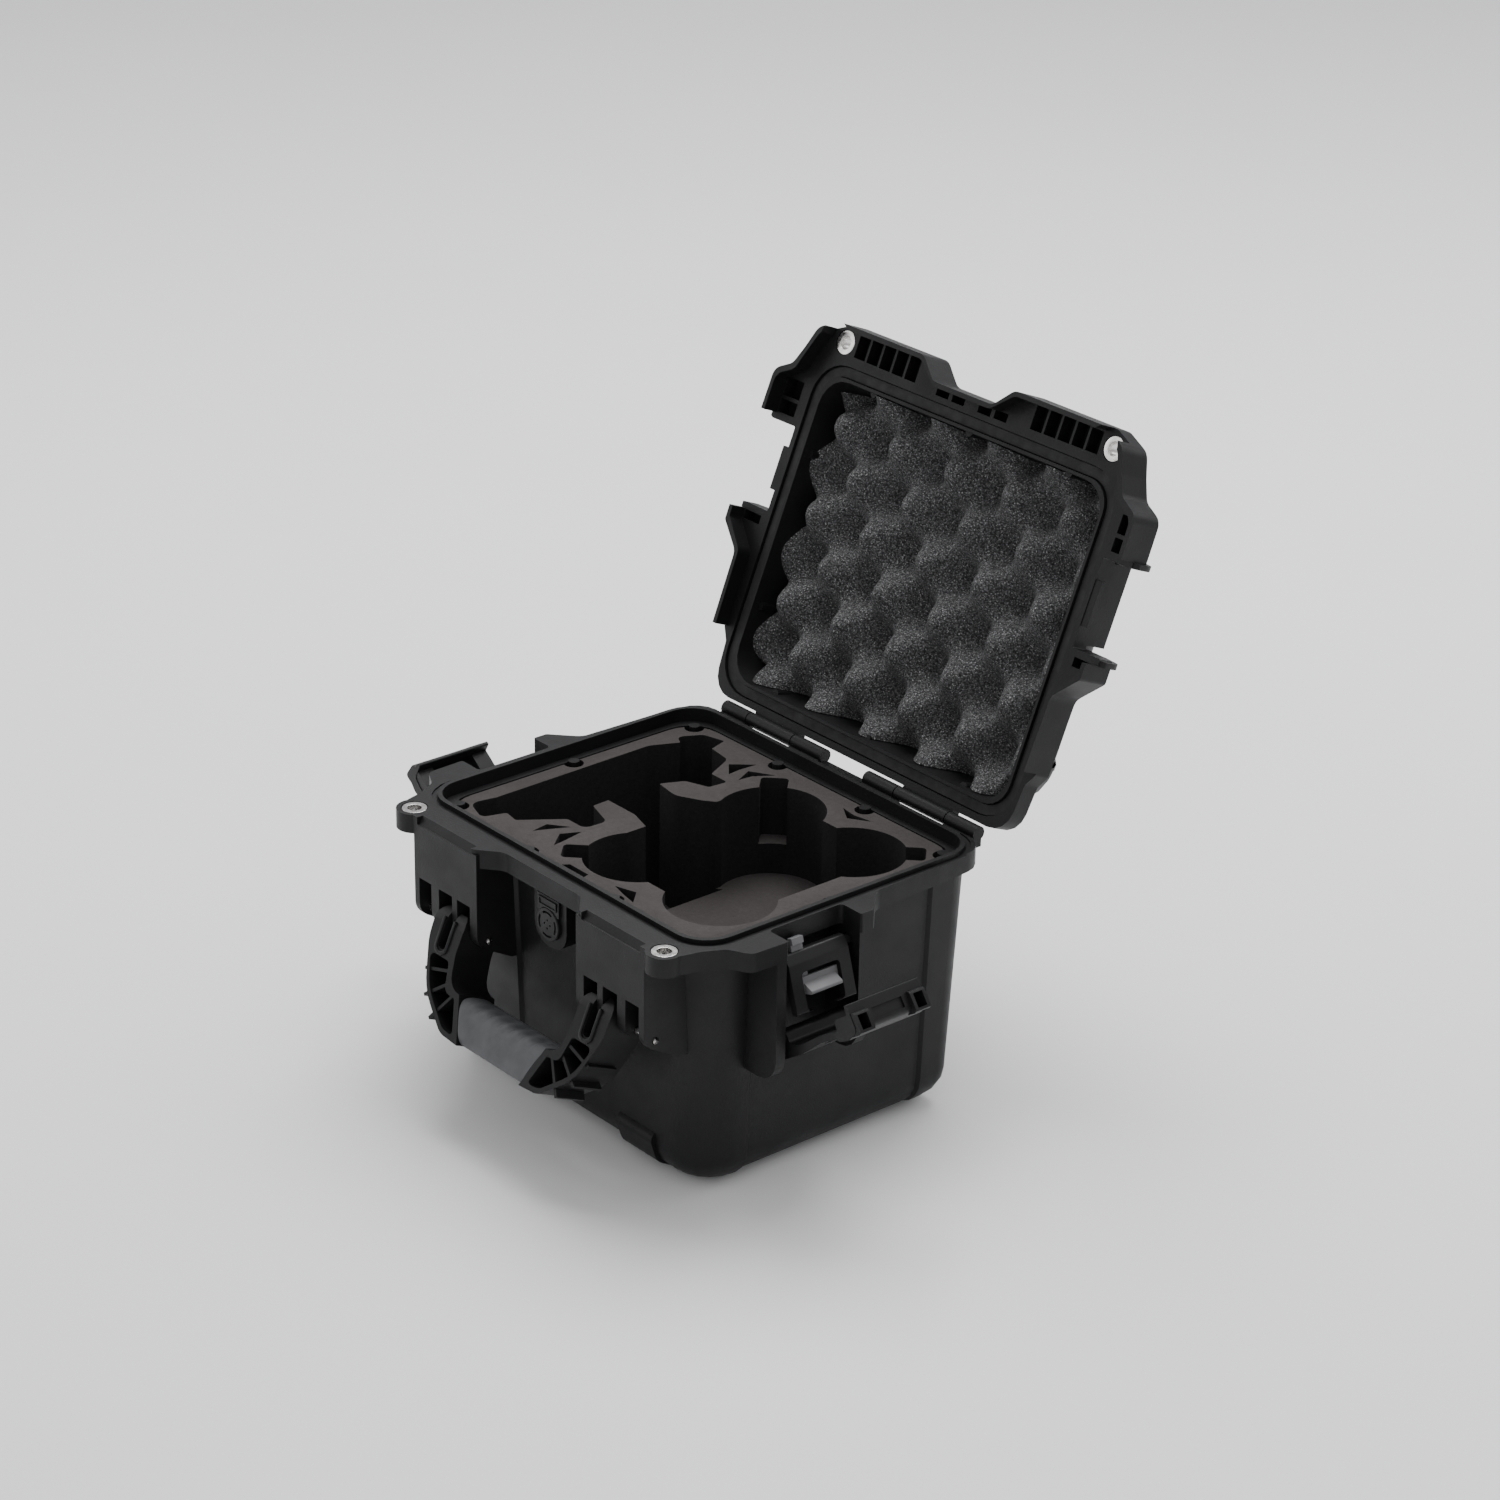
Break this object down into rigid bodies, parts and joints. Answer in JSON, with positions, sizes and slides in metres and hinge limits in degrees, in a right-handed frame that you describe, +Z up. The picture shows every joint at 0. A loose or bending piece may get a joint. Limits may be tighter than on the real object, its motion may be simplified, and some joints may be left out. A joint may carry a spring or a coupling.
{
  "type": "drone carrying case",
  "caption": "Small hard carrying case for a camera drone, open, with shaped foam, egg-crate lid foam, over-centre latches and a folding front handle.",
  "frame": {"origin": "on the floor under the centre of the sealing rim, in the plane of the base's feet", "axes": "+X right along the lid hinge, +Y from the handle at the front towards the hinge at the back, +Z up"},
  "size_m": [0.4248, 0.3958, 0.4034],
  "materials": {
    "shell": "finely textured black polypropylene, satin",
    "fittings": "smooth black nylon, satin",
    "grip": "soft grey rubber, matte",
    "lock": "grey plastic, satin",
    "steel": "bright stainless steel",
    "foam": "dense dark closed-cell foam, cut walls black",
    "lid_foam": "charcoal open-cell foam, speckled",
    "seal": "black rubber",
    "membrane": "white porous film"
  },
  "bodies": {
    "base": {"base_shell": "shell", "base_eyelet_left": "steel", "base_eyelet_right": "steel", "hinge_pin_left": "steel", "hinge_pin_right": "steel", "handle_pin_left": "steel", "handle_pin_right": "steel", "latch_pin_left": "steel", "latch_pin_right": "steel", "valve_cap": "fittings", "valve_o_ring": "seal", "valve_membrane": "membrane", "foam_insert": "foam", "foam_floor": "foam"},
    "lid": {"lid_shell": "shell", "lid_seal": "seal", "lid_foam": "lid_foam", "lid_eyelet_left": "steel", "lid_eyelet_right": "steel"},
    "handle": {"handle_frame": "fittings", "handle_grip": "grip"},
    "latch_left_lever": {"latch_lever_left": "fittings"},
    "latch_left_keeper": {"latch_keeper_left": "fittings"},
    "latch_left_lock": {"latch_lock_left": "lock"},
    "latch_right_lever": {"latch_lever_right": "fittings"},
    "latch_right_keeper": {"latch_keeper_right": "fittings"},
    "latch_right_lock": {"latch_lock_right": "lock"}
  },
  "joints": [
    {"name": "lid_hinge", "type": "hinge", "parent": "base", "child": "lid", "pos_m": [0, 0.1176, 0.1693], "axis": [1, 0, 0], "range_deg": [0, 112.7]},
    {"name": "handle_pivot", "type": "hinge", "parent": "base", "child": "handle", "pos_m": [0, -0.1195, 0.109], "axis": [-1, 0, 0], "range_deg": [-23.5, 66]},
    {"name": "latch_left_lever_pivot", "type": "hinge", "parent": "base", "child": "latch_left_lever", "pos_m": [-0.1436, -0.033, 0.104], "axis": [0, -1, 0], "range_deg": [-53, 22]},
    {"name": "latch_left_keeper_pivot", "type": "hinge", "parent": "base", "child": "latch_left_keeper", "pos_m": [-0.1406, -0.033, 0.15], "axis": [0, 1, 0], "range_deg": [-16.96, 7.04]},
    {"name": "latch_left_lock_slide", "type": "slide", "parent": "latch_left_keeper", "child": "latch_left_lock", "axis": [-0.2917, 0, -0.9565], "range_m": [0, 0.003]},
    {"name": "latch_right_lever_pivot", "type": "hinge", "parent": "base", "child": "latch_right_lever", "pos_m": [0.1436, -0.033, 0.104], "axis": [0, 1, 0], "range_deg": [-54, 21]},
    {"name": "latch_right_keeper_pivot", "type": "hinge", "parent": "base", "child": "latch_right_keeper", "pos_m": [0.1406, -0.033, 0.15], "axis": [0, -1, 0], "range_deg": [-17.28, 6.72]},
    {"name": "latch_right_lock_slide", "type": "slide", "parent": "latch_right_keeper", "child": "latch_right_lock", "axis": [0.297, 0, -0.9549], "range_m": [0, 0.003]}
  ],
  "couplings": [
    {"joint": "latch_left_keeper_pivot", "follows": "latch_left_lever_pivot", "ratio": 0.32},
    {"joint": "latch_right_keeper_pivot", "follows": "latch_right_lever_pivot", "ratio": 0.32}
  ]
}
